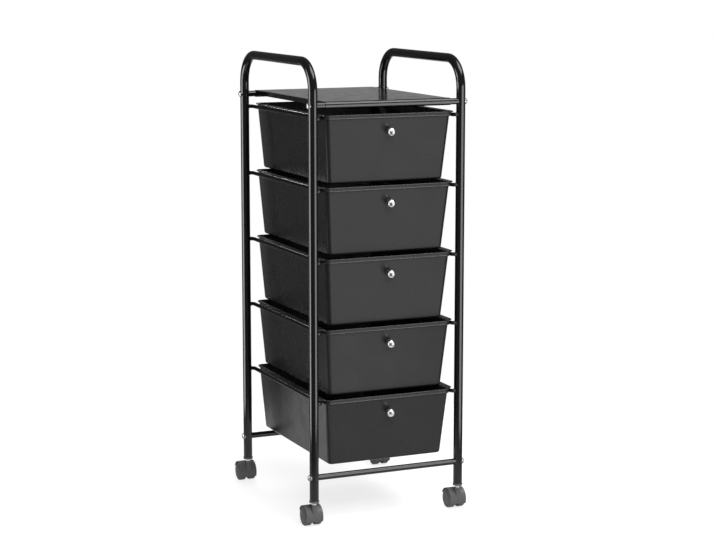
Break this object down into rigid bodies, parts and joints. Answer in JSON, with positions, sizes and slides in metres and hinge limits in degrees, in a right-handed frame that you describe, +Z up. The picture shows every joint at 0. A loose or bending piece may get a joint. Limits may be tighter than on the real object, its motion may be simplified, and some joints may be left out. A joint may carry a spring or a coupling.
{
  "type": "rolling drawer cart",
  "caption": "Tall narrow rolling cart: bent tube side frames with handles, a folded top panel, a stack of tapered slide-out drawers with ball knobs, and swivel twin-wheel casters.",
  "frame": {"origin": "on the floor, under the middle of the cart's box", "axes": "+Z up, -Y towards the drawer fronts, +X to the right of someone who faces the drawers"},
  "size_m": [0.369, 0.4476, 0.9625],
  "materials": {
    "frame_tube": "gloss black coat",
    "top_sheet": "gloss black coat",
    "rail_rod": "gloss black coat",
    "drawer_plastic": "satin black",
    "knob_chrome": "polished",
    "bolt_chrome": "polished",
    "screw_steel": "zinc plated",
    "stem_steel": "zinc plated",
    "axle_steel": "plain",
    "plug_plastic": "moulded",
    "socket_plastic": "moulded",
    "hood_plastic": "moulded",
    "wheel_plastic": "moulded"
  },
  "bodies": {
    "frame": {"left_side_frame": "frame_tube", "right_side_frame": "frame_tube", "top_front_crossbar": "frame_tube", "top_rear_crossbar": "frame_tube", "bottom_front_crossbar": "frame_tube", "bottom_rear_crossbar": "frame_tube", "crossbar_bolts": "bolt_chrome", "crossbar_plugs": "plug_plastic", "top_panel": "top_sheet", "drawer_rail_1_left": "rail_rod", "drawer_rail_1_right": "rail_rod", "drawer_rail_2_left": "rail_rod", "drawer_rail_2_right": "rail_rod", "drawer_rail_3_left": "rail_rod", "drawer_rail_3_right": "rail_rod", "drawer_rail_4_left": "rail_rod", "drawer_rail_4_right": "rail_rod", "drawer_rail_5_left": "rail_rod", "drawer_rail_5_right": "rail_rod", "caster_socket_front_left": "socket_plastic", "caster_socket_front_right": "socket_plastic", "caster_socket_rear_left": "socket_plastic", "caster_socket_rear_right": "socket_plastic"},
    "drawer_1_body": {"drawer_1": "drawer_plastic", "drawer_knob_1": "knob_chrome", "knob_screw_1": "screw_steel"},
    "drawer_2_body": {"drawer_2": "drawer_plastic", "drawer_knob_2": "knob_chrome", "knob_screw_2": "screw_steel"},
    "drawer_3_body": {"drawer_3": "drawer_plastic", "drawer_knob_3": "knob_chrome", "knob_screw_3": "screw_steel"},
    "drawer_4_body": {"drawer_4": "drawer_plastic", "drawer_knob_4": "knob_chrome", "knob_screw_4": "screw_steel"},
    "drawer_5_body": {"drawer_5": "drawer_plastic", "drawer_knob_5": "knob_chrome", "knob_screw_5": "screw_steel"},
    "caster_front_left_body": {"caster_stem_front_left": "stem_steel", "caster_hood_front_left": "hood_plastic", "caster_axle_front_left": "axle_steel"},
    "caster_front_left_wheel_left_body": {"caster_wheel_front_left_left": "wheel_plastic"},
    "caster_front_left_wheel_right_body": {"caster_wheel_front_left_right": "wheel_plastic"},
    "caster_front_right_body": {"caster_stem_front_right": "stem_steel", "caster_hood_front_right": "hood_plastic", "caster_axle_front_right": "axle_steel"},
    "caster_front_right_wheel_left_body": {"caster_wheel_front_right_left": "wheel_plastic"},
    "caster_front_right_wheel_right_body": {"caster_wheel_front_right_right": "wheel_plastic"},
    "caster_rear_left_body": {"caster_stem_rear_left": "stem_steel", "caster_hood_rear_left": "hood_plastic", "caster_axle_rear_left": "axle_steel"},
    "caster_rear_left_wheel_left_body": {"caster_wheel_rear_left_left": "wheel_plastic"},
    "caster_rear_left_wheel_right_body": {"caster_wheel_rear_left_right": "wheel_plastic"},
    "caster_rear_right_body": {"caster_stem_rear_right": "stem_steel", "caster_hood_rear_right": "hood_plastic", "caster_axle_rear_right": "axle_steel"},
    "caster_rear_right_wheel_left_body": {"caster_wheel_rear_right_left": "wheel_plastic"},
    "caster_rear_right_wheel_right_body": {"caster_wheel_rear_right_right": "wheel_plastic"}
  },
  "joints": [
    {"name": "drawer_1_slide", "type": "slide", "parent": "frame", "child": "drawer_1_body", "axis": [0, -1, 0], "range_m": [0, 0.25]},
    {"name": "drawer_2_slide", "type": "slide", "parent": "frame", "child": "drawer_2_body", "axis": [0, -1, 0], "range_m": [0, 0.25]},
    {"name": "drawer_3_slide", "type": "slide", "parent": "frame", "child": "drawer_3_body", "axis": [0, -1, 0], "range_m": [0, 0.25]},
    {"name": "drawer_4_slide", "type": "slide", "parent": "frame", "child": "drawer_4_body", "axis": [0, -1, 0], "range_m": [0, 0.25]},
    {"name": "drawer_5_slide", "type": "slide", "parent": "frame", "child": "drawer_5_body", "axis": [0, -1, 0], "range_m": [0, 0.25]},
    {"name": "caster_front_left_swivel", "type": "hinge", "parent": "frame", "child": "caster_front_left_body", "pos_m": [-0.165, -0.19889, 0.056], "axis": [0, 0, 1], "continuous": true},
    {"name": "caster_front_left_wheel_left_spin", "type": "hinge", "parent": "caster_front_left_body", "child": "caster_front_left_wheel_left_body", "pos_m": [-0.165, -0.18189, 0.02], "axis": [1, 0, 0], "continuous": true},
    {"name": "caster_front_left_wheel_right_spin", "type": "hinge", "parent": "caster_front_left_body", "child": "caster_front_left_wheel_right_body", "pos_m": [-0.165, -0.18189, 0.02], "axis": [1, 0, 0], "continuous": true},
    {"name": "caster_front_right_swivel", "type": "hinge", "parent": "frame", "child": "caster_front_right_body", "pos_m": [0.165, -0.19889, 0.056], "axis": [0, 0, 1], "continuous": true},
    {"name": "caster_front_right_wheel_left_spin", "type": "hinge", "parent": "caster_front_right_body", "child": "caster_front_right_wheel_left_body", "pos_m": [0.165, -0.18189, 0.02], "axis": [1, 0, 0], "continuous": true},
    {"name": "caster_front_right_wheel_right_spin", "type": "hinge", "parent": "caster_front_right_body", "child": "caster_front_right_wheel_right_body", "pos_m": [0.165, -0.18189, 0.02], "axis": [1, 0, 0], "continuous": true},
    {"name": "caster_rear_left_swivel", "type": "hinge", "parent": "frame", "child": "caster_rear_left_body", "pos_m": [-0.165, 0.18611, 0.056], "axis": [0, 0, 1], "continuous": true},
    {"name": "caster_rear_left_wheel_left_spin", "type": "hinge", "parent": "caster_rear_left_body", "child": "caster_rear_left_wheel_left_body", "pos_m": [-0.165, 0.20311, 0.02], "axis": [1, 0, 0], "continuous": true},
    {"name": "caster_rear_left_wheel_right_spin", "type": "hinge", "parent": "caster_rear_left_body", "child": "caster_rear_left_wheel_right_body", "pos_m": [-0.165, 0.20311, 0.02], "axis": [1, 0, 0], "continuous": true},
    {"name": "caster_rear_right_swivel", "type": "hinge", "parent": "frame", "child": "caster_rear_right_body", "pos_m": [0.165, 0.18611, 0.056], "axis": [0, 0, 1], "continuous": true},
    {"name": "caster_rear_right_wheel_left_spin", "type": "hinge", "parent": "caster_rear_right_body", "child": "caster_rear_right_wheel_left_body", "pos_m": [0.165, 0.20311, 0.02], "axis": [1, 0, 0], "continuous": true},
    {"name": "caster_rear_right_wheel_right_spin", "type": "hinge", "parent": "caster_rear_right_body", "child": "caster_rear_right_wheel_right_body", "pos_m": [0.165, 0.20311, 0.02], "axis": [1, 0, 0], "continuous": true}
  ]
}
